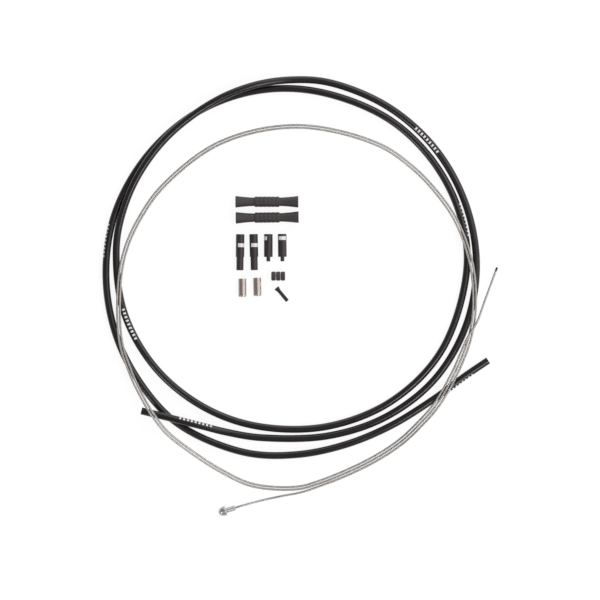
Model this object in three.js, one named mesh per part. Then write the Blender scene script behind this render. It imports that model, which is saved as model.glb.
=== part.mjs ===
// A complete bicycle brake cable, laid out flat before it is fitted to the frame.
// The outer housing and the inner wire lie in two loose rings, one partly over the other.
// The fittings that go on them lie in the middle: sleeves, ferrules, donuts and the crimp for the wire's tip.
// Millimetres, +Z up, floor at Z = 0. +X is the photo's right and +Y its upper edge.

import * as THREE from "three";

// Clearances
const REST_GAP = 0.3; // between pieces that lie on or beside each other
const LAYER_GAP = 0.05; // between the layers inside the housing
const SLIDE_GAP = 0.1; // between a bore and what slides into it, on each side
const PASS_GAP = 0.35; // between the wire and a hole that it only runs through, on each side

// Outer housing: jacket, wound steel strip and slippery liner
const HOUSING_DIAMETER = 5;
const JACKET_WALL = 0.5;
const STRIP_THICKNESS = 0.5;
const LINER_WALL = 0.3;
const HOUSING_STEPS = 82;
const JACKET_SIDES = 12;
const STRIP_SIDES = 8;
const LINER_SIDES = 6;

// Inner wire and its cast head
const WIRE_DIAMETER = 1.5;
const WIRE_STEPS = 132;
const WIRE_SIDES = 6;
const HEAD_DIAMETER = 6.8;
const HEAD_THICKNESS = 5.4;
const HEAD_EDGE = 0.5;
const NECK_WALL = 0.95;
const NECK_LENGTH = 6.6;
const NECK_CHAMFER = 0.4;
const WIRE_DEPTH_IN_HEAD = 8;

// Sleeves that keep the housing off the frame's paint, bored to slide on it
const SLEEVE_LENGTH = 43.4;
const SLEEVE_END_WALL = 1.45;
const SLEEVE_WAIST_WALL = 0.35;
const SLEEVE_BAND_WALL = 1;
const SLEEVE_BAND_LENGTH = 17;
const SLEEVE_GROOVES = 5;
const SLEEVE_GROOVE_DEPTH = 0.25;
const SLEEVE_GROOVE_WIDTH = 0.9;
const SLEEVE_FLARE_POINTS = 5;

// Plastic ferrules with a long nose, for the lever end and the frame stops
const LONG_BODY_WALL = 0.35;
const LONG_BODY_LENGTH = 15.7;
const LONG_NOSE_WALL = 1.4;
const LONG_NOSE_LENGTH = 9.2;
const LONG_NOSE_ROUNDING = 0.8;

// Plastic ferrules with a thin nose, for the brake end
const THIN_BODY_WALL = 0.4;
const THIN_BODY_LENGTH = 15.8;
const THIN_NOSE_WALL = 0.5;
const THIN_NOSE_LENGTH = 3.1;
const THIN_NOSE_ROUNDING = 0.25;

// Shared by both kinds of plastic ferrule
const FERRULE_WALL_BEHIND_SEAT = 1.2;
const FERRULE_ROUNDING = 0.5;

// Drawn metal ferrules
const METAL_FERRULE_LENGTH = 12.7;
const METAL_FERRULE_WALL = 0.25;
const METAL_FERRULE_ROUNDING = 0.7;

// Rubber donuts that keep the bare wire off the paint. They grip it, so their bore is its diameter.
const DONUT_DIAMETER = 6.3;
const DONUT_THICKNESS = 2.95;
const DONUT_ROUNDING = 0.9;

// Crimp for the wire's cut tip
const CRIMP_LENGTH = 11.8;
const CRIMP_WALL = 0.4;
const CRIMP_MOUTH_FLARE = 0.6;
const CRIMP_MOUTH_LENGTH = 1.2;
const CRIMP_FLARE_LENGTH = 1.3;
const CRIMP_CLOSED_END = 1;
const CRIMP_ROUNDING = 0.3;

// Facets round a turned piece
const SLEEVE_FACETS = 16;
const TURNED_FACETS = 16;
const SMALL_FACETS = 12;

// Bores and outsides that follow from the cords
const HOUSING_FIT_DIAMETER = HOUSING_DIAMETER + 2 * SLIDE_GAP;
const WIRE_FIT_DIAMETER = WIRE_DIAMETER + 2 * SLIDE_GAP;
const WIRE_PASS_DIAMETER = WIRE_DIAMETER + 2 * PASS_GAP;
const SLEEVE_END_DIAMETER = HOUSING_FIT_DIAMETER + 2 * SLEEVE_END_WALL;
const CRIMP_DIAMETER = WIRE_FIT_DIAMETER + 2 * CRIMP_WALL;
const CRIMP_MOUTH_DIAMETER = CRIMP_DIAMETER + 2 * CRIMP_MOUTH_FLARE;

// Layout: middles of the two rings, measured from the photo's middle
const SET_MIDDLE = new THREE.Vector2(0.27, -0.86);
const HOUSING_RING_MIDDLE = new THREE.Vector2(-1.6, 20.5);
const WIRE_RING_MIDDLE = new THREE.Vector2(-1.6, -8.5);

// Each row of a route is one point placed by hand on the photo:
// angle about the ring's middle in degrees, radius in millimetres,
// how many housings the cord lies on there, and how many wires.
const HOUSING_ROUTE = [
  [223, 147, 1],
  [231, 136, 1],
  [239, 129, 0.75],
  [247, 125, 0.25],
  [258, 121.5, 0.06],
  [280, 119.5, 0],
  [300, 121, 0],
  [320, 123, 0],
  [340, 123.5, 0],
  [360, 123.5, 0],
  [380, 123.5, 0],
  [400, 124.5, 0],
  [420, 126, 0],
  [440, 128, 0.05],
  [453, 128, 0.24],
  [465, 127.5, 0.92],
  [478, 126.5, 1.03],
  [495, 126, 1.03],
  [510, 126, 0.92],
  [523, 126, 0.5],
  [535, 125.5, 0.11],
  [555, 124, 0.006],
  [575, 121, 0],
  [595, 117.5, 0],
  [615, 114.5, 0],
  [640, 113, 0],
  [665, 114, 0],
  [690, 115.5, 0],
  [720, 117, 0],
  [740, 117.5, 0],
  [760, 118, 0],
  [780, 119, 0],
  [805, 121, 0],
  [825, 124, 0],
  [845, 126.5, 0],
  [865, 128.5, 0],
  [885, 131, 0],
  [905, 132.5, 0],
  [925, 134.5, 0],
  [945, 136.5, 0],
  [957, 136.5, 0],
  [975, 134, 0],
  [990, 130.5, 0],
  [1005, 128, 0],
  [1020, 128, 0],
  [1035, 131.5, 0],
  [1047, 139, 0],
  [1053.5, 147, 0],
];

// One turn of the wire's ring. The wire goes round it twice and starts a third, each turn inside the last.
const WIRE_TURN = [
  [270, 126.5, 0],
  [277, 123.5, 0],
  [285, 120.5, 0],
  [296, 118.5, 0.04],
  [307, 118, 0.22],
  [316, 117.5, 0.75],
  [325, 118, 1.02],
  [338, 118.5, 1.02],
  [349, 120.5, 1.02],
  [360, 122, 1.02],
  [374, 123.5, 1.02],
  [388, 124.5, 1.02],
  [398, 124.5, 0.7],
  [410, 125, 0.15],
  [424, 125.5, 0.035],
  [450, 125, 0],
  [475, 125.5, 0],
  [498, 125, 0.04],
  [511, 125, 0.22],
  [521, 125, 0.8],
  [531, 124, 1.02],
  [550, 124, 1.02],
  [561, 123.5, 1.08],
  [571, 123.5, 1.85],
  [577, 124, 2.05],
  [584, 124.5, 1.8],
  [594, 123.5, 0.9],
  [605, 124.5, 0.22],
  [616, 126.5, 0.04],
];
const WIRE_TURN_SPACING = 1.9;
const WIRE_TURNS = 3;

// From the head to the ring, and from the third turn out over the others to the bare tip
const WIRE_LEAD = [
  [259.5, 135.5, 0.12],
  [265.5, 130.5, 0.02],
  [271, 127.8, 0],
];
const WIRE_LEAD_END = 272;
const WIRE_TAIL_START = 340;
const WIRE_TAIL = [
  [344, 116.6, 1.02, 0.6],
  [350, 119, 1.02, 1.05],
  [355, 123.8, 1.02, 1.05],
  [362.3, 129.5, 0.75, 0.3],
  [371.3, 140.5, 0],
];

// Where the head's neck ends, and which way the wire leaves it
const NECK_END = new THREE.Vector2(-44.6, -146.7);
const NECK_ANGLE = 17;
const STRAIGHT_OUT = 5;

// Where the fittings lie: x and y of the spot that each is drawn from, and the way its axis points
const SLEEVE_PLACES = {
  frame_sleeve_upper: [-22.7, 64.35, 0],
  frame_sleeve_lower: [-22.5, 53.5, 0.7],
};
const LONG_NOSE_PLACES = {
  long_nose_ferrule_left: [-41.1, 42, -90.5],
  long_nose_ferrule_right: [-31.9, 42.1, -88.8],
};
const THIN_NOSE_PLACES = {
  thin_nose_ferrule_left: [-21.7, 42.1, -90],
  thin_nose_ferrule_right: [-12.2, 42.2, -89.3],
};
const METAL_FERRULE_PLACES = {
  metal_ferrule_left: [-39.7, 11.4, -89.6],
  metal_ferrule_right: [-29.5, 12, -88.5],
};
const DONUT_NAMES = ["wire_donut_left", "wire_donut_middle", "wire_donut_right"];
const FIRST_DONUT_PLACE = [-18.15, 13.1, 0];
const CRIMP_PLACE = [-16.1, 5, -50];

// Finishes
const FINISHES = {
  jacket: { color: 0x2b2829, roughness: 0.38, metalness: 0 },
  strip: { color: 0x8f9294, roughness: 0.4, metalness: 1 },
  liner: { color: 0xe6e4dc, roughness: 0.35, metalness: 0 },
  wire: { color: 0xb4b5b2, roughness: 0.3, metalness: 1 },
  head: { color: 0xc6c8c9, roughness: 0.35, metalness: 1 },
  rubber: { color: 0x413b3d, roughness: 0.6, metalness: 0 },
  plastic: { color: 0x383335, roughness: 0.45, metalness: 0 },
  nickel: { color: 0xb3a39c, roughness: 0.3, metalness: 1 },
  crimp: { color: 0x343233, roughness: 0.4, metalness: 0.6 },
};

const group = new THREE.Group();
group.name = "bicycle_brake_cable";
group.position.set(-SET_MIDDLE.x, -SET_MIDDLE.y, 0);

function addPiece(name, geometry, finish) {
  const mesh = new THREE.Mesh(geometry, new THREE.MeshStandardMaterial(FINISHES[finish]));
  mesh.name = name;
  group.add(mesh);
  return mesh;
}

// Cords

function pointOnRing(row, middle, diameter, radiusShift = 0) {
  const [angle, radius, housingsUnder, wiresUnder = 0] = row;
  const turn = THREE.MathUtils.degToRad(angle);
  const reach = radius + radiusShift;
  const onHousings = housingsUnder * (HOUSING_DIAMETER + REST_GAP);
  const onWires = wiresUnder * (WIRE_DIAMETER + REST_GAP);
  return new THREE.Vector3(
    middle.x + reach * Math.cos(turn),
    middle.y + reach * Math.sin(turn),
    diameter / 2 + onHousings + onWires,
  );
}

function smoothRoute(points) {
  const route = new THREE.CatmullRomCurve3(points, false, "centripetal");
  route.arcLengthDivisions = 20 * points.length;
  return route;
}

function roundOutline(radius, sides) {
  const outline = [];
  for (let side = 0; side < sides; side += 1) {
    const angle = (2 * Math.PI * side) / sides;
    outline.push(new THREE.Vector2(radius * Math.cos(angle), radius * Math.sin(angle)));
  }
  return outline;
}

function roundAlong(route, steps, outerRadius, outerSides, boreRadius = 0, boreSides = outerSides) {
  const section = new THREE.Shape(roundOutline(outerRadius, outerSides));
  if (boreRadius > 0) {
    section.holes.push(new THREE.Path(roundOutline(boreRadius, boreSides)));
  }
  return new THREE.ExtrudeGeometry(section, { steps, extrudePath: route });
}

function addHousing() {
  const route = smoothRoute(
    HOUSING_ROUTE.map((row) => pointOnRing(row, HOUSING_RING_MIDDLE, HOUSING_DIAMETER)),
  );
  const jacketOuter = HOUSING_DIAMETER / 2;
  const jacketBore = jacketOuter - JACKET_WALL;
  const stripOuter = jacketBore - LAYER_GAP;
  const stripBore = stripOuter - STRIP_THICKNESS;
  const linerOuter = stripBore - LAYER_GAP;
  const linerBore = linerOuter - LINER_WALL;
  addPiece(
    "housing_jacket",
    roundAlong(route, HOUSING_STEPS, jacketOuter, JACKET_SIDES, jacketBore, STRIP_SIDES),
    "jacket",
  );
  addPiece(
    "housing_steel_strip",
    roundAlong(route, HOUSING_STEPS, stripOuter, STRIP_SIDES, stripBore, LINER_SIDES),
    "strip",
  );
  addPiece(
    "housing_liner",
    roundAlong(route, HOUSING_STEPS, linerOuter, LINER_SIDES, linerBore),
    "liner",
  );
}

function wirePoints() {
  const points = [];
  const away = new THREE.Vector2(1, 0).rotateAround(
    new THREE.Vector2(),
    THREE.MathUtils.degToRad(NECK_ANGLE),
  );
  for (const distance of [SLIDE_GAP - WIRE_DEPTH_IN_HEAD, 0, STRAIGHT_OUT]) {
    const spot = NECK_END.clone().addScaledVector(away, distance);
    points.push(new THREE.Vector3(spot.x, spot.y, HEAD_DIAMETER / 2));
  }
  for (const row of WIRE_LEAD) {
    points.push(pointOnRing(row, WIRE_RING_MIDDLE, WIRE_DIAMETER));
  }
  for (let turn = 0; turn < WIRE_TURNS; turn += 1) {
    const shift = WIRE_TURN_SPACING * (0.5 - turn);
    const from = turn === 0 ? WIRE_LEAD_END : 0;
    const upTo = turn === WIRE_TURNS - 1 ? WIRE_TAIL_START : Infinity;
    const rows = WIRE_TURN.filter(([angle]) => angle > from && angle < upTo);
    points.push(...rows.map((row) => pointOnRing(row, WIRE_RING_MIDDLE, WIRE_DIAMETER, shift)));
  }
  for (const row of WIRE_TAIL) {
    points.push(pointOnRing(row, WIRE_RING_MIDDLE, WIRE_DIAMETER));
  }
  return points;
}

function addInnerWire() {
  const route = smoothRoute(wirePoints());
  addPiece("inner_wire", roundAlong(route, WIRE_STEPS, WIRE_DIAMETER / 2, WIRE_SIDES), "wire");
}

// Turned pieces

// How far the middle of a rounded corner lies from each of its two sides, as a share of the rounding
const CORNER_CUT = 1 - Math.SQRT1_2;

// The profile goes up the outside and back down the bore, as pairs of distance along the axis and radius.
function turned(profile, facets) {
  const points = profile.map(([along, radius]) => new THREE.Vector2(radius, along));
  points.push(points[0].clone());
  return new THREE.LatheGeometry(points, facets);
}

// The piece lies on the floor with its axis pointing the given way from the given spot.
function layDown(mesh, [x, y, angle], restRadius, dip = 0) {
  mesh.rotation.order = "ZXY";
  mesh.rotation.z = THREE.MathUtils.degToRad(angle - 90);
  mesh.rotation.x = -dip;
  mesh.position.set(x, y, restRadius);
}

function headGeometry() {
  const headRadius = HEAD_DIAMETER / 2;
  const boreRadius = WIRE_FIT_DIAMETER / 2;
  const neckRadius = boreRadius + NECK_WALL;
  const length = HEAD_THICKNESS + NECK_LENGTH;
  const boreEnd = length - WIRE_DEPTH_IN_HEAD;
  const domePoints = 5;
  const domeHeight = HEAD_THICKNESS - 2 * HEAD_EDGE;
  const profile = [];
  for (let step = 0; step <= domePoints; step += 1) {
    const angle = ((Math.PI / 2) * step) / domePoints;
    profile.push([domeHeight * (1 - Math.cos(angle)), headRadius * Math.sin(angle)]);
  }
  profile.push(
    [HEAD_THICKNESS - HEAD_EDGE, headRadius],
    [HEAD_THICKNESS, headRadius - HEAD_EDGE],
    [HEAD_THICKNESS, neckRadius],
    [length - NECK_CHAMFER, neckRadius],
    [length, neckRadius - NECK_CHAMFER],
    [length, boreRadius],
    [boreEnd, boreRadius],
    [boreEnd, 0],
  );
  return turned(profile, TURNED_FACETS);
}

function addHead() {
  const length = HEAD_THICKNESS + NECK_LENGTH;
  const away = THREE.MathUtils.degToRad(NECK_ANGLE);
  const x = NECK_END.x - length * Math.cos(away);
  const y = NECK_END.y - length * Math.sin(away);
  layDown(addPiece("cable_head", headGeometry(), "head"), [x, y, NECK_ANGLE], HEAD_DIAMETER / 2);
}

function sleeveGeometry() {
  const half = SLEEVE_LENGTH / 2;
  const bandHalf = SLEEVE_BAND_LENGTH / 2;
  const boreRadius = HOUSING_FIT_DIAMETER / 2;
  const endRadius = SLEEVE_END_DIAMETER / 2;
  const waistRadius = boreRadius + SLEEVE_WAIST_WALL;
  const bandRadius = boreRadius + SLEEVE_BAND_WALL;
  const flare = [];
  for (let step = 0; step < SLEEVE_FLARE_POINTS; step += 1) {
    const share = step / (SLEEVE_FLARE_POINTS - 1);
    flare.push([
      bandHalf + share * (half - bandHalf),
      waistRadius + (endRadius - waistRadius) * share ** 1.5,
    ]);
  }
  const mirrored = flare.map(([along, radius]) => [-along, radius]).reverse();
  const band = [[-bandHalf, bandRadius]];
  const pitch = SLEEVE_BAND_LENGTH / (SLEEVE_GROOVES + 1);
  for (let groove = 1; groove <= SLEEVE_GROOVES; groove += 1) {
    const middle = -bandHalf + groove * pitch;
    band.push(
      [middle - SLEEVE_GROOVE_WIDTH / 2, bandRadius],
      [middle, bandRadius - SLEEVE_GROOVE_DEPTH],
      [middle + SLEEVE_GROOVE_WIDTH / 2, bandRadius],
    );
  }
  band.push([bandHalf, bandRadius]);
  return turned([...mirrored, ...band, ...flare, [half, boreRadius], [-half, boreRadius]], SLEEVE_FACETS);
}

function ferruleGeometry(body, nose) {
  const bodyRadius = HOUSING_FIT_DIAMETER / 2 + body.wall;
  const noseRadius = nose.bore / 2 + nose.wall;
  const length = body.length + nose.length;
  const seatRadius = HOUSING_FIT_DIAMETER / 2;
  const seatEnd = body.length - FERRULE_WALL_BEHIND_SEAT;
  const cut = FERRULE_ROUNDING * CORNER_CUT;
  const noseCut = nose.rounding * CORNER_CUT;
  return turned(
    [
      [0, bodyRadius - body.wall / 2],
      [cut, bodyRadius - cut / 2],
      [FERRULE_ROUNDING, bodyRadius],
      [body.length - FERRULE_ROUNDING / 2, bodyRadius],
      [body.length, bodyRadius - FERRULE_ROUNDING / 2],
      [body.length, noseRadius + cut],
      [body.length + cut, noseRadius],
      [length - nose.rounding, noseRadius],
      [length - noseCut, noseRadius - noseCut],
      [length, noseRadius - nose.rounding],
      [length, nose.bore / 2],
      [seatEnd, nose.bore / 2],
      [seatEnd, seatRadius],
      [0, seatRadius],
    ],
    TURNED_FACETS,
  );
}

function metalFerruleGeometry() {
  const boreRadius = HOUSING_FIT_DIAMETER / 2;
  const outerRadius = boreRadius + METAL_FERRULE_WALL;
  const round = METAL_FERRULE_ROUNDING;
  const innerRound = METAL_FERRULE_ROUNDING - METAL_FERRULE_WALL;
  const holeRadius = WIRE_PASS_DIAMETER / 2;
  const end = METAL_FERRULE_LENGTH;
  const seat = end - METAL_FERRULE_WALL;
  return turned(
    [
      [0, outerRadius],
      [end - round, outerRadius],
      [end - round * CORNER_CUT, outerRadius - round * CORNER_CUT],
      [end, outerRadius - round],
      [end, holeRadius],
      [seat, holeRadius],
      [seat, boreRadius - innerRound],
      [seat - innerRound, boreRadius],
      [0, boreRadius],
    ],
    TURNED_FACETS,
  );
}

function donutGeometry() {
  const boreRadius = WIRE_DIAMETER / 2;
  const outerRadius = DONUT_DIAMETER / 2;
  const half = DONUT_THICKNESS / 2;
  const cut = DONUT_ROUNDING * CORNER_CUT;
  return turned(
    [
      [-half, boreRadius],
      [-half, outerRadius - DONUT_ROUNDING],
      [-half + cut, outerRadius - cut],
      [-half + DONUT_ROUNDING, outerRadius],
      [half - DONUT_ROUNDING, outerRadius],
      [half - cut, outerRadius - cut],
      [half, outerRadius - DONUT_ROUNDING],
      [half, boreRadius],
    ],
    TURNED_FACETS,
  );
}

function crimpGeometry() {
  const tubeRadius = CRIMP_DIAMETER / 2;
  const mouthRadius = CRIMP_MOUTH_DIAMETER / 2;
  const boreRadius = WIRE_FIT_DIAMETER / 2;
  const flareEnd = CRIMP_MOUTH_LENGTH + CRIMP_FLARE_LENGTH;
  return turned(
    [
      [0, mouthRadius],
      [CRIMP_MOUTH_LENGTH, mouthRadius - CRIMP_WALL / 2],
      [flareEnd, tubeRadius],
      [CRIMP_LENGTH - CRIMP_ROUNDING, tubeRadius],
      [CRIMP_LENGTH, tubeRadius - CRIMP_ROUNDING],
      [CRIMP_LENGTH, 0],
      [CRIMP_LENGTH - CRIMP_CLOSED_END, 0],
      [CRIMP_LENGTH - CRIMP_CLOSED_END, boreRadius],
      [flareEnd, boreRadius],
      [CRIMP_MOUTH_LENGTH, mouthRadius - CRIMP_WALL * 1.5],
      [0, mouthRadius - CRIMP_WALL],
    ],
    SMALL_FACETS,
  );
}

function addTurnedPieces(places, makeGeometry, restRadius, finish) {
  for (const [name, place] of Object.entries(places)) {
    layDown(addPiece(name, makeGeometry(), finish), place, restRadius);
  }
}

function addSleeves() {
  addTurnedPieces(SLEEVE_PLACES, sleeveGeometry, SLEEVE_END_DIAMETER / 2, "rubber");
}

function addPlasticFerrules() {
  const longBody = { wall: LONG_BODY_WALL, length: LONG_BODY_LENGTH };
  const longNose = {
    wall: LONG_NOSE_WALL,
    length: LONG_NOSE_LENGTH,
    bore: WIRE_PASS_DIAMETER,
    rounding: LONG_NOSE_ROUNDING,
  };
  const thinBody = { wall: THIN_BODY_WALL, length: THIN_BODY_LENGTH };
  const thinNose = {
    wall: THIN_NOSE_WALL,
    length: THIN_NOSE_LENGTH,
    bore: WIRE_FIT_DIAMETER,
    rounding: THIN_NOSE_ROUNDING,
  };
  const longRest = HOUSING_FIT_DIAMETER / 2 + LONG_BODY_WALL;
  const thinRest = HOUSING_FIT_DIAMETER / 2 + THIN_BODY_WALL;
  addTurnedPieces(LONG_NOSE_PLACES, () => ferruleGeometry(longBody, longNose), longRest, "plastic");
  addTurnedPieces(THIN_NOSE_PLACES, () => ferruleGeometry(thinBody, thinNose), thinRest, "plastic");
}

function addMetalFerrules() {
  const restRadius = HOUSING_FIT_DIAMETER / 2 + METAL_FERRULE_WALL;
  addTurnedPieces(METAL_FERRULE_PLACES, metalFerruleGeometry, restRadius, "nickel");
}

function addWireDonuts() {
  const [firstX, y, angle] = FIRST_DONUT_PLACE;
  const spacing = DONUT_THICKNESS + REST_GAP;
  DONUT_NAMES.forEach((name, index) => {
    const donut = addPiece(name, donutGeometry(), "rubber");
    layDown(donut, [firstX + index * spacing, y, angle], DONUT_DIAMETER / 2);
  });
}

function addCrimp() {
  const dip = Math.asin(CRIMP_MOUTH_FLARE / (CRIMP_LENGTH - CRIMP_ROUNDING));
  const restRadius = (CRIMP_MOUTH_DIAMETER / 2) * Math.cos(dip);
  layDown(addPiece("end_crimp", crimpGeometry(), "crimp"), CRIMP_PLACE, restRadius, dip);
}

addHousing();
addInnerWire();
addHead();
addSleeves();
addPlasticFerrules();
addMetalFerrules();
addWireDonuts();
addCrimp();

export default group;
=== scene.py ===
"""Bicycle brake cable laid out before it is fitted: outer housing, inner wire and their fittings.

Metres, +Z up, floor at Z = 0. The routes of the two cords are tables of points on two rings.
"""

import math

import bpy
import numpy as np
from mathutils import Matrix, Vector


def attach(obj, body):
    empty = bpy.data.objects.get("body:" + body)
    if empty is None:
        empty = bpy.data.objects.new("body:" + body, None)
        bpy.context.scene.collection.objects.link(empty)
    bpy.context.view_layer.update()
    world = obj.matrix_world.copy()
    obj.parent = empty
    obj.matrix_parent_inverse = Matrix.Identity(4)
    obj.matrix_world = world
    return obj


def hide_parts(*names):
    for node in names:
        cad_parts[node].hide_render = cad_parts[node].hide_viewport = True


bl_info = {
    "name": "Bicycle Brake Cable",
    "version": (1, 0, 0),
    "blender": (4, 5, 0),
    "location": "3D View > Sidebar > Brake Cable",
    "description": "Builds a brake cable laid out before fitting: housing, wire and end fittings",
    "category": "Object",
}

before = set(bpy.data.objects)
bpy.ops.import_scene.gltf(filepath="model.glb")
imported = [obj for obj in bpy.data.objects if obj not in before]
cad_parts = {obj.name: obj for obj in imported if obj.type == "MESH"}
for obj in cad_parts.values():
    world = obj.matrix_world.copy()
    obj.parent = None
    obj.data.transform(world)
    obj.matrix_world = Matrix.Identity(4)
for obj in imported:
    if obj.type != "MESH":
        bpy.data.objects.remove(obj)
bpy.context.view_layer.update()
BODY = "root"
MM = 0.001

# Gaps: between pieces that lie on each other, round what slides in a bore,
# and round what only runs through a hole
REST_GAP = 0.3 * MM
SLIDE_GAP = 0.1 * MM
PASS_GAP = 0.35 * MM

# Middles of the whole layout, of the camera's view and of the two rings
SET_MIDDLE = Vector((0.27, -0.86)) * MM
VIEW_MIDDLE = Vector((0.14, -3.38)) * MM
HOUSING_RING_MIDDLE = Vector((-1.6, 20.5)) * MM
WIRE_RING_MIDDLE = Vector((-1.6, -8.5)) * MM

# Each row: angle about the ring's middle in degrees, radius in millimetres,
# how many housings the cord lies on there, and how many wires.
HOUSING_ROUTE = [
    (223, 147, 1), (231, 136, 1), (239, 129, 0.75), (247, 125, 0.25), (258, 121.5, 0.06),
    (280, 119.5, 0), (300, 121, 0), (320, 123, 0), (340, 123.5, 0), (360, 123.5, 0),
    (380, 123.5, 0), (400, 124.5, 0), (420, 126, 0), (440, 128, 0.05), (453, 128, 0.24),
    (465, 127.5, 0.92), (478, 126.5, 1.03), (495, 126, 1.03), (510, 126, 0.92), (523, 126, 0.5),
    (535, 125.5, 0.11), (555, 124, 0.006), (575, 121, 0), (595, 117.5, 0), (615, 114.5, 0),
    (640, 113, 0), (665, 114, 0), (690, 115.5, 0), (720, 117, 0), (740, 117.5, 0),
    (760, 118, 0), (780, 119, 0), (805, 121, 0), (825, 124, 0), (845, 126.5, 0),
    (865, 128.5, 0), (885, 131, 0), (905, 132.5, 0), (925, 134.5, 0), (945, 136.5, 0),
    (957, 136.5, 0), (975, 134, 0), (990, 130.5, 0), (1005, 128, 0), (1020, 128, 0),
    (1035, 131.5, 0), (1047, 139, 0), (1053.5, 147, 0),
]

# One turn of the wire's ring, gone round twice and begun a third time, each turn inside the last
WIRE_TURN = [
    (270, 126.5, 0), (277, 123.5, 0), (285, 120.5, 0), (296, 118.5, 0.04), (307, 118, 0.22),
    (316, 117.5, 0.75), (325, 118, 1.02), (338, 118.5, 1.02), (349, 120.5, 1.02),
    (360, 122, 1.02), (374, 123.5, 1.02), (388, 124.5, 1.02), (398, 124.5, 0.7),
    (410, 125, 0.15), (424, 125.5, 0.035), (450, 125, 0), (475, 125.5, 0), (498, 125, 0.04),
    (511, 125, 0.22), (521, 125, 0.8), (531, 124, 1.02), (550, 124, 1.02), (561, 123.5, 1.08),
    (571, 123.5, 1.85), (577, 124, 2.05), (584, 124.5, 1.8), (594, 123.5, 0.9),
    (605, 124.5, 0.22), (616, 126.5, 0.04),
]
WIRE_TURN_SPACING = 1.9
WIRE_TURNS = 3
WIRE_LEAD = [
    (259.5, 135.5, 0.12), (265.5, 130.5, 0.02), (271, 127.8, 0),
]
WIRE_LEAD_END = 272
WIRE_TAIL_START = 340
WIRE_TAIL = [
    (344, 116.6, 1.02, 0.6), (350, 119, 1.02, 1.05), (355, 123.8, 1.02, 1.05),
    (362.3, 129.5, 0.75, 0.3), (371.3, 140.5, 0),
]

# The end of the head's neck, and the way the wire leaves it
NECK_END = Vector((-44.6, -146.7)) * MM
NECK_ANGLE = 17
STRAIGHT_OUT = 5 * MM

# Where the fittings lie, in millimetres, and the way that each one's axis points in degrees
PLACES = {
    "frame_sleeve_upper": (-22.7, 64.35, 0),
    "frame_sleeve_lower": (-22.5, 53.5, 0.7),
    "long_nose_ferrule_left": (-41.1, 42, -90.5),
    "long_nose_ferrule_right": (-31.9, 42.1, -88.8),
    "thin_nose_ferrule_left": (-21.7, 42.1, -90),
    "thin_nose_ferrule_right": (-12.2, 42.2, -89.3),
    "metal_ferrule_left": (-39.7, 11.4, -89.6),
    "metal_ferrule_right": (-29.5, 12, -88.5),
    "wire_donut_left": (-18.15, 13.1, 0),
    "end_crimp": (-16.1, 5, -50),
}
DONUTS = ["wire_donut_left", "wire_donut_middle", "wire_donut_right"]

# Rows of plain white dashes printed along the housing: metres from its left end,
# and degrees from its top to its right side
HOUSING_MARKS = [
    (0.038, -46), (0.3968, -5), (0.7393, -4), (1.0965, 66), (1.4348, 60), (1.7866, 62),
]
ROW_LENGTH = 22.95 * MM
ROW_HALF_ANGLE = 0.4
DASH_PITCH = 2.7 * MM
DASH_SHARE = 0.5

# The plain bar printed on a plastic ferrule
BAR_LENGTH = 2.6 * MM
BAR_HALF_ANGLE = 1.0

# Each kind of plastic ferrule: its nose's gap round the wire, the rounding of its tip,
# and how far the middle of its printed bar lies from its open end
FERRULE_KINDS = {
    "long": (PASS_GAP, 0.8 * MM, 7.6 * MM),
    "thin": (SLIDE_GAP, 0.35 * MM, 2.9 * MM),
}

# How far each plastic ferrule has rolled, in degrees, which takes its bar away from the top
FERRULE_ROLL = {
    "long_nose_ferrule_left": -28,
    "long_nose_ferrule_right": -20,
    "thin_nose_ferrule_left": 75,
    "thin_nose_ferrule_right": 0,
}


# Settings


def length_mm(name, description, millimetres):
    """A length's setting, with its default in millimetres."""
    limits = {"min": 0, "precision": 5, "subtype": "DISTANCE", "unit": "LENGTH"}
    default = millimetres * MM
    return bpy.props.FloatProperty(name=name, description=description, default=default, **limits)


def linear(hex_colour):
    """An sRGB hex colour as linear RGBA."""
    channels = [int(hex_colour[i : i + 2], 16) / 255 for i in (0, 2, 4)]
    straight = [c / 12.92 if c <= 0.04045 else ((c + 0.055) / 1.055) ** 2.4 for c in channels]
    return (*straight, 1.0)


def srgb(name, description, hex_colour):
    """A colour's setting, with its default as an sRGB hex value."""
    limits = {"size": 4, "min": 0, "max": 1, "subtype": "COLOR", "default": linear(hex_colour)}
    return bpy.props.FloatVectorProperty(name=name, description=description, **limits)


class HousingSettings(bpy.types.PropertyGroup):
    diameter: length_mm("Diameter", "Outside diameter of the housing", 5)
    jacket_wall: length_mm("Jacket wall", "Thickness of the extruded jacket", 0.5)
    strip_thickness: length_mm("Strip thickness", "Thickness of the wound steel strip", 0.5)
    strip_width: length_mm("Strip width", "Width of the wound steel strip", 2.9)
    strip_pitch: length_mm("Strip pitch", "Distance between the strip's turns", 3.1)
    liner_wall: length_mm("Liner wall", "Thickness of the slippery liner", 0.3)
    layer_gap: length_mm("Layer gap", "Gap between the layers", 0.05)
    ring_spacing: length_mm("Ring spacing", "Distance between the rings of the mesh", 2.5)
    jacket_colour: srgb("Jacket colour", "Colour of the jacket", "1d1718")
    print_colour: srgb("Print colour", "Colour of the printed dashes", "e9e7e5")
    strip_colour: srgb("Strip colour", "Colour of the steel strip", "8f9294")
    liner_colour: srgb("Liner colour", "Colour of the liner", "e6e4dc")


class WireSettings(bpy.types.PropertyGroup):
    diameter: length_mm("Diameter", "Outside diameter of the stranded wire", 1.5)
    strands: bpy.props.IntProperty(
        name="Strands", description="Strands in the outer lay", default=12, min=5, max=24
    )
    groove: length_mm("Groove", "Depth of the grooves between the strands", 0.07)
    lay: length_mm("Lay", "Length in which a strand goes round once", 18)
    ring_spacing: length_mm("Ring spacing", "Distance between the rings of the mesh", 1.4)
    fused_tip: length_mm("Fused tip", "Length of the fused end of the wire", 3)
    colour: srgb("Colour", "Colour of the drawn steel", "c0bcb9")
    tip_colour: srgb("Tip colour", "Colour of the fused end", "4a4542")


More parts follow.
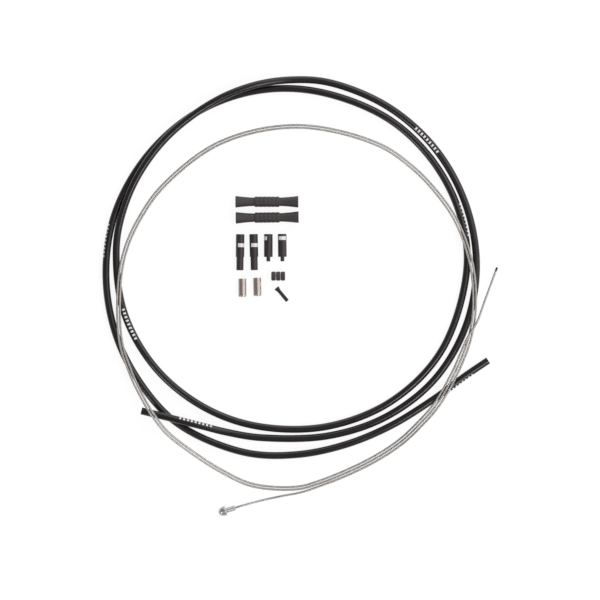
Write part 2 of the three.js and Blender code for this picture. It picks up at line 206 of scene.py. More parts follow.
class HeadSettings(bpy.types.PropertyGroup):
    diameter: length_mm("Diameter", "Diameter of the round button", 6.8)
    thickness: length_mm("Thickness", "Height of the round button", 5.4)
    edge: length_mm("Edge", "Rounding of the button's flat side", 0.5)
    neck_wall: length_mm("Neck wall", "Wall of the neck round the wire", 0.95)
    neck_length: length_mm("Neck length", "Length of the neck", 6.6)
    wire_depth: length_mm("Wire depth", "How deep the wire sits in the casting", 8)
    colour: srgb("Colour", "Colour of the cast alloy", "cacbcc")


class FittingSettings(bpy.types.PropertyGroup):
    sleeve_length: length_mm("Sleeve length", "Length of a frame sleeve", 43.4)
    sleeve_end_wall: length_mm("Sleeve end wall", "Wall at a sleeve's flared ends", 1.45)
    sleeve_waist_wall: length_mm("Sleeve waist wall", "Wall beside the sleeve's band", 0.35)
    sleeve_band_wall: length_mm("Sleeve band wall", "Wall at the sleeve's raised band", 1)
    sleeve_band_length: length_mm("Sleeve band length", "Length of the raised band", 17)
    long_body_wall: length_mm("Long-nose body wall", "Body wall of a long-nose ferrule", 0.35)
    long_body_length: length_mm("Long-nose body", "Body length of a long-nose ferrule", 15.7)
    long_nose_wall: length_mm("Long nose wall", "Wall of the long nose", 1.4)
    long_nose_length: length_mm("Long nose", "Length of the long nose", 9.2)
    thin_body_wall: length_mm("Thin-nose body wall", "Body wall of a thin-nose ferrule", 0.4)
    thin_body_length: length_mm("Thin-nose body", "Body length of a thin-nose ferrule", 15.8)
    thin_nose_wall: length_mm("Thin nose wall", "Wall of the thin nose", 0.5)
    thin_nose_length: length_mm("Thin nose", "Length of the thin nose", 3.1)
    wall_behind_seat: length_mm("Wall behind seat", "Wall that the housing butts against", 1.2)
    metal_length: length_mm("Metal ferrule length", "Length of a drawn metal ferrule", 12.7)
    metal_wall: length_mm("Metal ferrule wall", "Wall of a drawn metal ferrule", 0.25)
    donut_diameter: length_mm("Donut diameter", "Diameter of a wire donut", 6.3)
    donut_thickness: length_mm("Donut thickness", "Thickness of a wire donut", 3.1)
    donut_spacing: length_mm("Donut spacing", "Distance from one donut to the next", 3.25)
    donut_rounding: length_mm("Donut rounding", "Rounding of a wire donut's edges", 0.9)
    crimp_length: length_mm("Crimp length", "Length of the end crimp", 11.8)
    crimp_wall: length_mm("Crimp wall", "Wall of the end crimp", 0.4)
    crimp_flare: length_mm("Crimp flare", "How far the mouth of the crimp stands out", 0.6)
    rubber_colour: srgb("Rubber colour", "Colour of the sleeves and donuts", "383132")
    plastic_colour: srgb("Plastic colour", "Colour of the plastic ferrules", "2f2728")
    nickel_colour: srgb("Nickel colour", "Colour of the metal ferrules", "cdbfb7")
    crimp_colour: srgb("Crimp colour", "Colour of the crimp", "2f2c2d")


class StageSettings(bpy.types.PropertyGroup):
    view_width: length_mm("View width", "Width of the floor that the camera sees", 414)
    camera_height: length_mm("Camera height", "Height of the camera over the cable", 3000)
    floor_reach: length_mm("Floor reach", "How far the floor goes each way", 3000)
    floor_colour: srgb("Floor colour", "Colour of the floor", "e8e8e8")


SETTINGS = {
    "cable_housing": HousingSettings,
    "cable_wire": WireSettings,
    "cable_head": HeadSettings,
    "cable_fittings": FittingSettings,
    "cable_stage": StageSettings,
}


# How strong bump is, the noise's usual range, and how far pits count against the skin
BUMP_STRENGTH = 0.3
CLOUD_RANGE = (0.25, 0.75)
PIT_SHARE = 0.25


# Node trees

MATH = "ShaderNodeMath"


def add_node(tree, kind, inputs=(), **settings):
    """Adds one node with its settings, and its inputs' numbers and links. Returns its outputs."""
    made = tree.nodes.new(kind)
    for key, value in settings.items():
        setattr(made, key, value)
    for key, value in inputs.items() if isinstance(inputs, dict) else enumerate(inputs):
        if isinstance(value, bpy.types.NodeSocket):
            tree.links.new(value, made.inputs[key])
        else:
            made.inputs[key].default_value = value
    return made.outputs


def mottle(tree, place, grain, drawn=(1, 1, 1), detail=3.0):
    """Noise whose grain is a size in metres, drawn out along an axis where drawn is over 1."""
    scale = [1 / (grain * stretch) for stretch in drawn]
    scaled = add_node(tree, "ShaderNodeMapping", {"Vector": place, "Scale": scale})[0]
    noise = {"Vector": scaled, "Scale": 1.0, "Detail": detail}
    return add_node(tree, "ShaderNodeTexNoise", noise)[0]


def textured(
    name, colour, cloud, skin, shades, roughness, depth, metallic=0.0, ior=1.45, pits=None
):
    """A material whose shade and roughness follow one pattern, while another raises its surface.

    A pattern is the mottle's grain, and how it is drawn out and its detail where it has them.
    Returns the material, its tree, its shader, its pattern's places and its shade.
    """
    made = bpy.data.materials.new(name)
    made.use_nodes = True
    made.diffuse_color = colour
    tree = made.node_tree
    shader = tree.nodes["Principled BSDF"]
    shader.inputs["Base Color"].default_value = colour
    shader.inputs["Metallic"].default_value = metallic
    if metallic == 0:
        shader.inputs["IOR"].default_value = ior
    place = add_node(tree, "ShaderNodeAttribute", attribute_name="straightened")["Vector"]
    clouds = mottle(tree, place, *cloud)
    height = clouds if skin == cloud else mottle(tree, place, *skin)
    if pits:
        cells = {"Vector": place, "Scale": 1 / pits}
        cells = add_node(tree, "ShaderNodeTexVoronoi", cells)["Distance"]
        height = (cells, PIT_SHARE, height)
        height = add_node(tree, MATH, height, operation="MULTIPLY_ADD")[0]
    dark, light = ([min(1.0, c * shade) for c in colour[:3]] + [1.0] for shade in shades)
    tint = add_node(tree, "ShaderNodeMix", {0: clouds, 6: dark, 7: light}, data_type="RGBA")[2]
    rough = add_node(tree, "ShaderNodeMapRange", (clouds, *CLOUD_RANGE, *roughness))[0]
    bump = {"Height": height, "Strength": BUMP_STRENGTH, "Distance": depth}
    raised = add_node(tree, "ShaderNodeBump", bump)[0]
    tree.links.new(tint, shader.inputs["Base Color"])
    tree.links.new(rough, shader.inputs["Roughness"])
    tree.links.new(raised, shader.inputs["Normal"])
    return made, tree, shader, place, tint


def print_dashes(tree, shader, place, body, ink, marks, run, half_angle, pitch=1.0, share=1.0):
    """Prints rows of plain dashes. A mark is a distance along a piece and an angle from its top."""
    across, up, along = add_node(tree, "ShaderNodeSeparateXYZ", (place,))
    turned = add_node(tree, MATH, (across, up), operation="ARCTAN2")[0]
    printed = 0.0
    for distance, angle in marks:
        steps = (along, 1 / pitch, share / 2 - distance / pitch)
        steps = add_node(tree, MATH, steps, operation="MULTIPLY_ADD")[0]
        phase = add_node(tree, MATH, (steps,), operation="FRACT")[0]
        inked = add_node(tree, MATH, (phase, share), operation="LESS_THAN")[0]
        for limits in ((along, distance, run / 2), (turned, math.radians(angle), half_angle)):
            inside = add_node(tree, MATH, limits, operation="COMPARE")[0]
            inked = add_node(tree, MATH, (inked, inside), operation="MULTIPLY")[0]
        printed = add_node(tree, MATH, (printed, inked), operation="MAXIMUM")[0]
    mixed = add_node(tree, "ShaderNodeMix", {0: printed, 6: body, 7: ink}, data_type="RGBA")[2]
    tree.links.new(mixed, shader.inputs["Base Color"])


def extruded_jacket(colour, ink):
    """Black thermoplastic, extruded over the strip: smooth, semi-gloss, with faint draw lines."""
    scuffs, lines = (4 * MM, (1, 1, 3), 5), (0.6 * MM, (1, 1, 60))
    looks = (scuffs, lines, (0.8, 1.3), (0.17, 0.28), 0.004 * MM)
    made, *inner = textured("extruded_black_thermoplastic", colour, *looks, ior=1.5)
    print_dashes(*inner, ink, HOUSING_MARKS, ROW_LENGTH, ROW_HALF_ANGLE, DASH_PITCH, DASH_SHARE)
    return made


def galvanised_strip(colour):
    """Galvanised flat steel strip, wound into a tube: dull grey, with the zinc's fine spangle."""
    spangle = (0.8 * MM,)
    looks = (spangle, spangle, (0.7, 1.15), (0.35, 0.55), 0.01 * MM)
    return textured("galvanised_steel_strip", colour, *looks, metallic=1.0)[0]


def liner_polymer(colour):
    """White fluoropolymer tube, extruded: waxy, a little translucent, almost without texture."""
    haze = (1.5 * MM, (1, 1, 8))
    looks = (haze, haze, (0.9, 1.0), (0.26, 0.36), 0.01 * MM)
    made, _, shader, _, _ = textured("extruded_white_fluoropolymer", colour, *looks, ior=1.38)
    shader.inputs["Subsurface Weight"].default_value = 0.1
    shader.inputs["Subsurface Radius"].default_value = (0.4 * MM, 0.35 * MM, 0.3 * MM)
    return made


def drawn_steel(colour, tip_colour, full_length, tip):
    """Drawn stainless strands: bright, with fine draw marks, darkened where the tip is fused."""
    marks = (0.12 * MM, (1, 1, 25))
    looks = (marks, marks, (0.8, 1.1), (0.34, 0.48), 0.004 * MM)
    made, tree, shader, place, bright = textured(
        "drawn_stainless_steel", colour, *looks, metallic=1.0
    )
    along = add_node(tree, "ShaderNodeSeparateXYZ", (place,))[2]
    start, blend = full_length - tip, tip / 4
    limits = (along, start - blend, start + blend)
    fused = add_node(tree, "ShaderNodeMapRange", limits, interpolation_type="SMOOTHSTEP")[0]
    mixed = {0: fused, 6: bright, 7: tip_colour}
    mixed = add_node(tree, "ShaderNodeMix", mixed, data_type="RGBA")[2]
    tree.links.new(mixed, shader.inputs["Base Color"])
    return made


def cast_zinc(colour):
    """Zinc alloy, die-cast onto the wire: pale grey satin, with orange-peel skin and small pits."""
    skin = (0.7 * MM, (1, 1, 1), 4)
    looks = (skin, skin, (0.82, 1.1), (0.26, 0.42), 0.06 * MM)
    return textured("die_cast_zinc_alloy", colour, *looks, metallic=1.0, pits=0.5 * MM)[0]


def moulded_rubber(colour):
    """Black moulded rubber: soft satin with a fine matt skin, and a paler bloom here and there."""
    name = "moulded_black_rubber"
    if name in bpy.data.materials:
        return bpy.data.materials[name]
    bloom, skin = (5 * MM, (1, 1, 2), 4), (0.35 * MM, (1, 1, 1), 4)
    return textured(name, colour, bloom, skin, (0.75, 1.5), (0.45, 0.62), 0.04 * MM, ior=1.52)[0]


def moulded_plastic(colour, ink):
    """Black glass-filled nylon, injection moulded: satin, faintly mottled, with a printed bar."""
    cloud, skin = (3 * MM,), (0.4 * MM, (1, 1, 1), 4)
    looks = (cloud, skin, (0.75, 1.35), (0.32, 0.48), 0.03 * MM)
    made, *inner = textured("moulded_black_nylon", colour, *looks, ior=1.53)
    print_dashes(*inner, ink, [(0, 0)], BAR_LENGTH, BAR_HALF_ANGLE)
    return made


def nickel_plate(colour):
    """Bright nickel on drawn brass: warm and mirror-like, with fine lines from the drawing."""
    stain, lines = (3 * MM, (1, 1, 1), 4), (0.25 * MM, (1, 1, 30))
    looks = (stain, lines, (0.9, 1.06), (0.22, 0.3), 0.003 * MM)
    return textured("nickel_plated_drawn_brass", colour, *looks, metallic=1.0)[0]


def anodised_aluminium(colour):
    """Black anodised aluminium, pressed from tube: dark, softly metallic, finely grained."""
    grain = (0.3 * MM, (1, 1, 6), 4)
    looks = (grain, grain, (0.75, 1.4), (0.3, 0.46), 0.02 * MM)
    return textured("black_anodised_aluminium", colour, *looks, metallic=0.7)[0]


# Routes


def on_ring(row, middle, diameter, shift=0.0):
    """A row of a route's table as a place. Its levels count the cords under this one."""
    angle, radius, housings, wires = (*row, 0)[:4]
    sizes = bpy.context.scene
    on_housings = housings * (sizes.cable_housing.diameter + REST_GAP)
    on_wires = wires * (sizes.cable_wire.diameter + REST_GAP)
    turn, reach = math.radians(angle), (radius + shift) * MM
    spot = middle - SET_MIDDLE + Vector((math.cos(turn), math.sin(turn))) * reach
    return (spot.x, spot.y, diameter / 2 + on_housings + on_wires)


def smooth_route(points, spacing, samples=60):
    """Points at one spacing along the centripetal curve through the given points.

    The curve is sampled so often between two of them. Returns its length too.
    """
    p = np.array(points, float)
    p = np.vstack([2 * p[0] - p[1], p, 2 * p[-1] - p[-2]])
    line, t = [], np.linspace(0, 1, samples, endpoint=False)[:, None]
    for i in range(1, len(p) - 2):
        p0, p1, p2, p3 = p[i - 1 : i + 3]
        d0, d1, d2 = (np.linalg.norm(b - a) ** 0.5 for a, b in ((p0, p1), (p1, p2), (p2, p3)))
        m1 = ((p1 - p0) / d0 - (p2 - p0) / (d0 + d1) + (p2 - p1) / d1) * d1
        m2 = ((p2 - p1) / d1 - (p3 - p1) / (d1 + d2) + (p3 - p2) / d2) * d1
        line.append(
            (2 * t**3 - 3 * t**2 + 1) * p1
            + (t**3 - 2 * t**2 + t) * m1
            + (3 * t**2 - 2 * t**3) * p2
            + (t**3 - t**2) * m2
        )
    line = np.vstack([*line, p[-2]])
    along = np.concatenate([[0], np.cumsum(np.linalg.norm(np.diff(line, axis=0), axis=1))])
    at = np.linspace(0, along[-1], max(2, round(along[-1] / spacing)) + 1)
    return np.stack([np.interp(at, along, line[:, k]) for k in range(3)], axis=1), float(along[-1])


def neck_way():
    """The way that the head's neck points."""
    turn = math.radians(NECK_ANGLE)
    return Vector((math.cos(turn), math.sin(turn)))


def wire_points(diameter, head):
    points = []
    for distance in (SLIDE_GAP - head.wire_depth, 0, STRAIGHT_OUT):
        spot = NECK_END - SET_MIDDLE + neck_way() * distance
        points.append((spot.x, spot.y, head.diameter / 2))
    points += [on_ring(row, WIRE_RING_MIDDLE, diameter) for row in WIRE_LEAD]
    for turn in range(WIRE_TURNS):
        shift = WIRE_TURN_SPACING * (0.5 - turn)
        first = WIRE_LEAD_END if turn == 0 else 0
        last = WIRE_TAIL_START if turn == WIRE_TURNS - 1 else math.inf
        rows = [row for row in WIRE_TURN if first < row[0] < last]
        points += [on_ring(row, WIRE_RING_MIDDLE, diameter, shift) for row in rows]
    return points + [on_ring(row, WIRE_RING_MIDDLE, diameter) for row in WIRE_TAIL]


# Geometry Nodes

STORE = "GeometryNodeStoreNamedAttribute"
# How many of its widths in from each end the strip's first turn stands
TURNS_BEGIN = 1.55
# The least angle of an edge that is shaded as sharp, in degrees
SWEPT_SHARP = 50


def new_tree(name, sizes):
    """A tree that takes a line, the named sizes and a material, with its inputs and its curve."""
    tree = bpy.data.node_groups.new(name, "GeometryNodeTree")
    tree.interface.new_socket("Geometry", in_out="INPUT", socket_type="NodeSocketGeometry")
    for label, value in sizes.items():
        kind = "NodeSocketInt" if isinstance(value, int) else "NodeSocketFloat"
        socket = tree.interface.new_socket(label, in_out="INPUT", socket_type=kind)
        socket.default_value = value
    tree.interface.new_socket("Material", in_out="INPUT", socket_type="NodeSocketMaterial")
    tree.interface.new_socket("Geometry", in_out="OUTPUT", socket_type="NodeSocketGeometry")
    given = add_node(tree, "NodeGroupInput")
    return tree, given, add_node(tree, "GeometryNodeMeshToCurve", (given["Geometry"],))[0]


def measured(tree, curve, lay=None):
    """The curve, storing how far along it each point is, level or turning once in each lay."""
    curve = add_node(tree, "GeometryNodeSetCurveNormal", (curve,), mode="Z_UP")[0]
    along = add_node(tree, "GeometryNodeSplineParameter")["Length"]
    if lay is not None:
        turns = add_node(tree, MATH, (along, lay), operation="DIVIDE")[0]
        angle = add_node(tree, MATH, (turns, math.tau), operation="MULTIPLY")[0]
        curve = add_node(tree, "GeometryNodeSetCurveTilt", {"Curve": curve, "Tilt": angle})[0]
    stored = {"Geometry": curve, "Name": "along", "Value": along}
    return add_node(tree, STORE, stored, data_type="FLOAT")[0]


def swept(tree, curve, profile, capped):
    """The profile swept along the curve. Each point keeps its place as on a straight piece."""
    spot = add_node(tree, "GeometryNodeInputPosition")[0]
    stored = {"Geometry": profile, "Name": "section", "Value": spot}
    profile = add_node(tree, STORE, stored, data_type="FLOAT_VECTOR")[0]
    sweep = {"Curve": curve, "Profile Curve": profile, "Fill Caps": capped}
    mesh = add_node(tree, "GeometryNodeCurveToMesh", sweep)[0]
    section, along = (
        add_node(tree, "GeometryNodeInputNamedAttribute", {"Name": name}, data_type=kind)[0]
        for name, kind in (("section", "FLOAT_VECTOR"), ("along", "FLOAT"))
    )
    across, down, _ = add_node(tree, "ShaderNodeSeparateXYZ", (section,))
    up = add_node(tree, MATH, (down, -1.0), operation="MULTIPLY")[0]
    place = add_node(tree, "ShaderNodeCombineXYZ", (across, up, along))[0]
    stored = {"Geometry": mesh, "Name": "straightened", "Value": place}
    mesh = add_node(tree, STORE, stored, data_type="FLOAT_VECTOR")[0]
    for spare in ("section", "along"):
        mesh = add_node(tree, "GeometryNodeRemoveAttribute", {"Geometry": mesh, "Name": spare})[0]
    return mesh


def finish_tree(tree, geometry, finish):
    """Makes what was instanced real, smooths it, gives it its material and sends it out."""
    real = add_node(tree, "GeometryNodeRealizeInstances", (geometry,))[0]
    smooth = add_node(tree, "GeometryNodeSetShadeSmooth", {"Geometry": real})[0]
    done = add_node(tree, "GeometryNodeSetMaterial", {"Geometry": smooth, "Material": finish})[0]
    add_node(tree, "NodeGroupOutput", (done,))
    return tree


def tube_tree():
    """A round skin along the route."""
    tree, given, line = new_tree("Tube Along Route", {"Diameter": 5 * MM, "Sides": 28})
    curve = measured(tree, line)
    radius = add_node(tree, MATH, (given["Diameter"], 2.0), operation="DIVIDE")[0]
    ring = {"Resolution": given["Sides"], "Radius": radius}
    profile = add_node(tree, "GeometryNodeCurvePrimitiveCircle", ring, mode="RADIUS")[0]
    return finish_tree(tree, swept(tree, curve, profile, False), given["Material"])


def strands_tree():
    """Strands drawn flat on the outside, with grooves between them that turn once in each lay."""
    sizes = {"Diameter": 1.5 * MM, "Strands": 12, "Groove": 0.07 * MM, "Lay": 18 * MM}
    tree, given, line = new_tree("Strands Along Route", sizes)
    curve = measured(tree, line, given["Lay"])
    # Four points on each strand: groove, flank, crown, flank
    count = add_node(tree, MATH, (given["Strands"], 4.0), operation="MULTIPLY")[0]
    circle = {"Resolution": count, "Radius": 1.0}
    circle = add_node(tree, "GeometryNodeCurvePrimitiveCircle", circle, mode="RADIUS")[0]
    # How deep each point lies: a groove's depth in it, an eighth of that on the flanks
    sunk = add_node(tree, "GeometryNodeInputIndex")[0]
    for operation, *number in (
        ("MODULO", 4.0),
        ("SUBTRACT", 2.0),
        ("ABSOLUTE",),
        ("DIVIDE", 2.0),
        ("POWER", 3.0),
        ("MULTIPLY", given["Groove"]),
    ):
        sunk = add_node(tree, MATH, (sunk, *number), operation=operation)[0]
    radius = add_node(tree, MATH, (given["Diameter"], 2.0), operation="DIVIDE")[0]
    reach = add_node(tree, MATH, (radius, sunk), operation="SUBTRACT")[0]
    spot = add_node(tree, "GeometryNodeInputPosition")[0]
    moved = {0: spot, "Scale": reach}
    moved = add_node(tree, "ShaderNodeVectorMath", moved, operation="SCALE")[0]
    profile = {"Geometry": circle, "Position": moved}
    profile = add_node(tree, "GeometryNodeSetPosition", profile)[0]
    return finish_tree(tree, swept(tree, curve, profile, True), given["Material"])


def wound_strip_tree():
    """Turns of flat strip one after another along the route, with a square-cut ring at each end."""
    sizes = {"Middle Radius": 1.7 * MM, "Thickness": 0.5 * MM, "Width": 2.9 * MM, "Pitch": 3.1 * MM}
    tree, given, line = new_tree("Wound Strip Along Route", sizes)
    radius, pitch, width = given["Middle Radius"], given["Pitch"], given["Width"]
    curve = measured(tree, line)
    length = add_node(tree, "GeometryNodeCurveLength", {"Curve": curve})[0]
    turn = {"Resolution": 12, "Rotations": 1.0, "Height": pitch}
    turn.update({"Start Radius": radius, "End Radius": radius})
    turn = add_node(tree, "GeometryNodeCurveSpiral", turn)[0]
    circle = {"Resolution": 16, "Radius": radius}
    circle = add_node(tree, "GeometryNodeCurvePrimitiveCircle", circle, mode="RADIUS")[0]
    flat = {"Width": given["Thickness"], "Height": width}
    flat = add_node(tree, "GeometryNodeCurvePrimitiveQuadrilateral", flat, mode="RECTANGLE")[0]
    # The rings stand half a width in from the ends, and the turns begin just past the rings
    from_turns = add_node(tree, MATH, (width, TURNS_BEGIN), operation="MULTIPLY")[0]
    from_end = add_node(tree, MATH, (from_turns, pitch), operation="ADD")[0]
    half = add_node(tree, MATH, (width, 2.0), operation="DIVIDE")[0]
    real = []
    for shape, first, last, mode, stops in (
        (turn, from_turns, from_end, "LENGTH", {"Length": pitch}),
        (circle, half, half, "COUNT", {"Count": 2}),
    ):
        one = swept(tree, measured(tree, shape), flat, mode == "LENGTH")
        end = add_node(tree, MATH, (length, last), operation="SUBTRACT")[0]
        part = {0: curve, 4: first, 5: end}
        part = add_node(tree, "GeometryNodeTrimCurve", part, mode="LENGTH")[0]
        points = add_node(tree, "GeometryNodeCurveToPoints", {"Curve": part, **stops}, mode=mode)
        placed = {"Points": points["Points"], "Instance": one, "Rotation": points["Rotation"]}
        real.append(add_node(tree, "GeometryNodeInstanceOnPoints", placed)[0])
    joined = tree.nodes.new("GeometryNodeJoinGeometry")
    for geometry in real:
        tree.links.new(geometry, joined.inputs[0])
    return finish_tree(tree, joined.outputs[0], given["Material"])


def grow(name, route, tree, values, wall=0.0):
    """Runs a tree on the route's line and keeps the result as a plain mesh piece."""
    line = bpy.data.meshes.new(name + "_line")
    steps = [(i, i + 1) for i in range(len(route) - 1)]
    line.from_pydata([tuple(spot) for spot in route], steps, [])
    host = bpy.data.objects.new(name + "_host", line)
    bpy.context.scene.collection.objects.link(host)
    modifier = host.modifiers.new("Grow", "NODES")
    modifier.node_group = tree
    taken = [item for item in tree.interface.items_tree if item.in_out == "INPUT"]
    sockets = {item.name: item.identifier for item in taken}
    for label, value in values.items():
        modifier[sockets[label]] = value
    if wall:
        thicken = host.modifiers.new("Wall", "SOLIDIFY")
        thicken.thickness = wall
        thicken.offset = -1
    ready = bpy.context.evaluated_depsgraph_get()
    mesh = bpy.data.meshes.new_from_object(host.evaluated_get(ready), depsgraph=ready)
    mesh.name = name
    host.modifiers.clear()
    bpy.data.objects.remove(host)
    bpy.data.meshes.remove(line)
    # An empty slot comes with the line, so the finish is put in anew
    mesh.materials.clear()
    mesh.polygons.foreach_set("material_index", np.zeros(len(mesh.polygons), np.int32))
    mesh.set_sharp_from_angle(angle=math.radians(SWEPT_SHARP))
    return place_piece(name, mesh, values["Material"])


def place_piece(name, mesh, finish):
    mesh.materials.append(finish)
    piece = bpy.data.objects.new(name, mesh)
    bpy.context.scene.collection.objects.link(piece)
    return piece


# Turned pieces

# The most of an edge that the arc at one of its ends takes, so that two arcs never meet
ARC_SHARE = 0.49
# The least angle of an edge that is shaded as sharp, in degrees
TURNED_SHARP = 35


def rounded(corners, steps=4):
    """A profile's corners, each (along, radius, rounding), with the rounded ones drawn as arcs."""
    points = []
    for i, (along, radius, rounding) in enumerate(corners):
        here = Vector((along, radius))
        if rounding <= 0:
            points.append(here)
            continue
        before = Vector(corners[i - 1][:2]) - here
        after = Vector(corners[(i + 1) % len(corners)][:2]) - here
        reach = min(rounding, ARC_SHARE * before.length, ARC_SHARE * after.length)
        start, end = here + before.normalized() * reach, here + after.normalized() * reach
        for step in range(steps + 1):
            share = step / steps
            left = 1 - share
            points.append(start * left**2 + here * (2 * share * left) + end * share**2)
    return points


def turned_mesh(name, profile, place, rest, dip=0.0, roll=0.0, start=0.0, sides=56, closed=True):
    """A profile of (along, radius) points turned about its axis and laid down at its place.

    Its pattern starts at a distance along it, rolled from its top.
    """
    verts, straightened, rings = [], [], []
    for along, radius in profile:
        if radius == 0:
            rings.append([len(verts)] * sides)
            verts.append((0, along, 0))
            straightened.append((0, 0, along - start))
            continue
        rings.append(range(len(verts), len(verts) + sides))
        for side in range(sides):
            angle = math.tau * side / sides
            printed = angle - math.radians(roll)
            verts.append((radius * math.sin(angle), along, radius * math.cos(angle)))
            across, up = radius * math.sin(printed), radius * math.cos(printed)
            straightened.append((across, up, along - start))
    faces = []
    for one, two in zip(rings, rings[1:] + rings[:1] if closed else rings[1:]):
        for side in range(sides):
            after = (side + 1) % sides
            face = list(dict.fromkeys([one[side], one[after], two[after], two[side]]))
            if len(face) > 2:
                faces.append(face)
    x, y, angle = place
    turn = Matrix.Rotation(math.radians(angle - 90), 4, "Z")
    turn = turn @ Matrix.Rotation(-dip, 4, "X")
    spot = Matrix.Translation((x * MM - SET_MIDDLE.x, y * MM - SET_MIDDLE.y, rest))
    mesh = bpy.data.meshes.new(name)
    mesh.from_pydata(verts, [], faces)
    mesh.transform(spot @ turn)
    stored = mesh.attributes.new("straightened", "FLOAT_VECTOR", "POINT")
    stored.data.foreach_set("vector", np.array(straightened, float).ravel())
    mesh.shade_smooth()
    mesh.set_sharp_from_angle(angle=math.radians(TURNED_SHARP))
    # A profile that runs backwards along its outside makes faces that point inwards
    ends = zip(profile, profile[1:] + profile[:1])
    if sum(one[0] * two[1] - two[0] * one[1] for one, two in ends) > 0:
        mesh.flip_normals()
    return mesh


def ride_on(piece, node):
    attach(piece, BODY)
    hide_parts(node)


def lay_turned(making, node, slot, profile, finish, rest, place=None, **shape):
    """Turns the piece of one node, lays it down and has it stand for the node."""
    name = making + node
    mesh = turned_mesh(name, profile, place or PLACES[node], rest, **shape)
    piece = place_piece(name, mesh, finish)
    ride_on(piece, node)
    return piece


def housing_bore():
    """Radius of a bore that slides on the housing."""
    return bpy.context.scene.cable_housing.diameter / 2 + SLIDE_GAP


def wire_radius():
    return bpy.context.scene.cable_wire.diameter / 2


# Profiles of the turned pieces, as corners of (along, radius, rounding), and their small sizes

BAND_GROOVES = 5
GROOVE_REACH = 0.45 * MM
GROOVE_DEPTH = 0.25 * MM
CRIMP_END_WALL = 1 * MM
CRIMP_END_ROUNDING = 0.3 * MM
CRIMP_FLARE_LENGTH = 2.5 * MM
CRIMP_LIP_LENGTH = 1.2 * MM


def head_profile(head):
    """A round button with a domed back, a flat seat and a neck that the wire comes out of."""
    radius, bore = head.diameter / 2, wire_radius() + SLIDE_GAP / 2
    neck = wire_radius() + SLIDE_GAP + head.neck_wall
    full = head.thickness + head.neck_length
    dome = head.thickness - 2 * head.edge
    angles = np.linspace(0, math.pi / 2, 14)
    profile = [Vector((dome * (1 - math.cos(angle)), radius * math.sin(angle))) for angle in angles]
    return profile + rounded([
        (dome, radius, 0), (head.thickness, radius, head.edge),
        (head.thickness, neck, 0.25 * MM), (full, neck, 0.4 * MM), (full, bore, 0.1 * MM),
        (full - head.wire_depth, bore, 0), (full - head.wire_depth, 0, 0),
    ])[1:]


def sleeve_profile(given):
    """Two flared ends, a raised band with grooves between them, and a bore right through."""
    half, band_half = given.sleeve_length / 2, given.sleeve_band_length / 2
    bore = housing_bore()
    end, waist = bore + given.sleeve_end_wall, bore + given.sleeve_waist_wall
    band = bore + given.sleeve_band_wall
    flare = []
    for share in np.linspace(0, 1, 14)[1:-1]:
        along = band_half + share * (half - band_half)
        flare.append((along, waist + (end - waist) * share**1.5, 0))
    side = [
        (half, bore, 0.15 * MM),
        (half, end, 0.25 * MM),
        *reversed(flare),
        (band_half, waist, 0.2 * MM),
        (band_half, band, 0.3 * MM),
    ]
    grooves = []
    for groove in range(BAND_GROOVES, 0, -1):
        middle = -band_half + groove * given.sleeve_band_length / (BAND_GROOVES + 1)
        grooves += [
            (middle + GROOVE_REACH, band, 0.15 * MM),
            (middle, band - GROOVE_DEPTH, 0.2 * MM),
            (middle - GROOVE_REACH, band, 0.15 * MM),
        ]
    mirrored = [(-along, radius, rounding) for along, radius, rounding in reversed(side)]
    return rounded([*side, *grooves, *mirrored])


def ferrule_profile(end_wall, body_wall, body_length, nose_wall, nose_length, nose_bore, tip):
    """A cup for the housing's end, with a nose that only the wire goes through."""
    seat, seat_end = housing_bore(), body_length - end_wall
    body, nose, full = seat + body_wall, nose_bore + nose_wall, body_length + nose_length
    return rounded([
        (0, seat, 0.1 * MM), (0, body, 0.5 * MM),
        (body_length, body, 0.35 * MM), (body_length, nose, 0.25 * MM),
        (full, nose, tip), (full, nose_bore, 0.15 * MM),
        (seat_end, nose_bore, 0.1 * MM), (seat_end, seat, 0.1 * MM),
    ])


def metal_ferrule_profile(given):
    """A thin drawn cup with a rounded closed end, and a hole in it for the wire."""
    bore, hole, end = housing_bore(), wire_radius() + PASS_GAP, given.metal_length
    outer, seat = bore + given.metal_wall, end - given.metal_wall
    return rounded([
        (0, bore, 0.08 * MM), (0, outer, 0.08 * MM),
        (end, outer, 0.9 * MM), (end, hole, 0.08 * MM),
        (seat, hole, 0.08 * MM), (seat, bore, 0.6 * MM),
    ])


def donut_profile(given):
    half, outer, bore = given.donut_thickness / 2, given.donut_diameter / 2, wire_radius()
    return rounded([
        (-half, bore, 0.25 * MM), (-half, outer, given.donut_rounding),
        (half, outer, given.donut_rounding), (half, bore, 0.25 * MM),
    ], steps=7)


def crimp_profile(given):
    """A closed tube with a flared mouth."""
    bore, wall, end = wire_radius() + SLIDE_GAP, given.crimp_wall, given.crimp_length
    tube = bore + wall
    mouth = tube + given.crimp_flare
    return rounded([
        (end - CRIMP_END_WALL, 0, 0), (end - CRIMP_END_WALL, bore, 0.1 * MM),
        (CRIMP_FLARE_LENGTH, bore, 0.4 * MM), (CRIMP_LIP_LENGTH, mouth - wall * 1.5, 0.3 * MM),
        (0, mouth - wall, 0.1 * MM), (0, mouth, 0.1 * MM),
        (CRIMP_LIP_LENGTH, mouth - wall / 2, 0.3 * MM), (CRIMP_FLARE_LENGTH, tube, 0.4 * MM),
        (end, tube, CRIMP_END_ROUNDING), (end, 0, 0),
    ])


# Stage: the pale room's strength, and each lamp's way from the middle, width in metres and watts

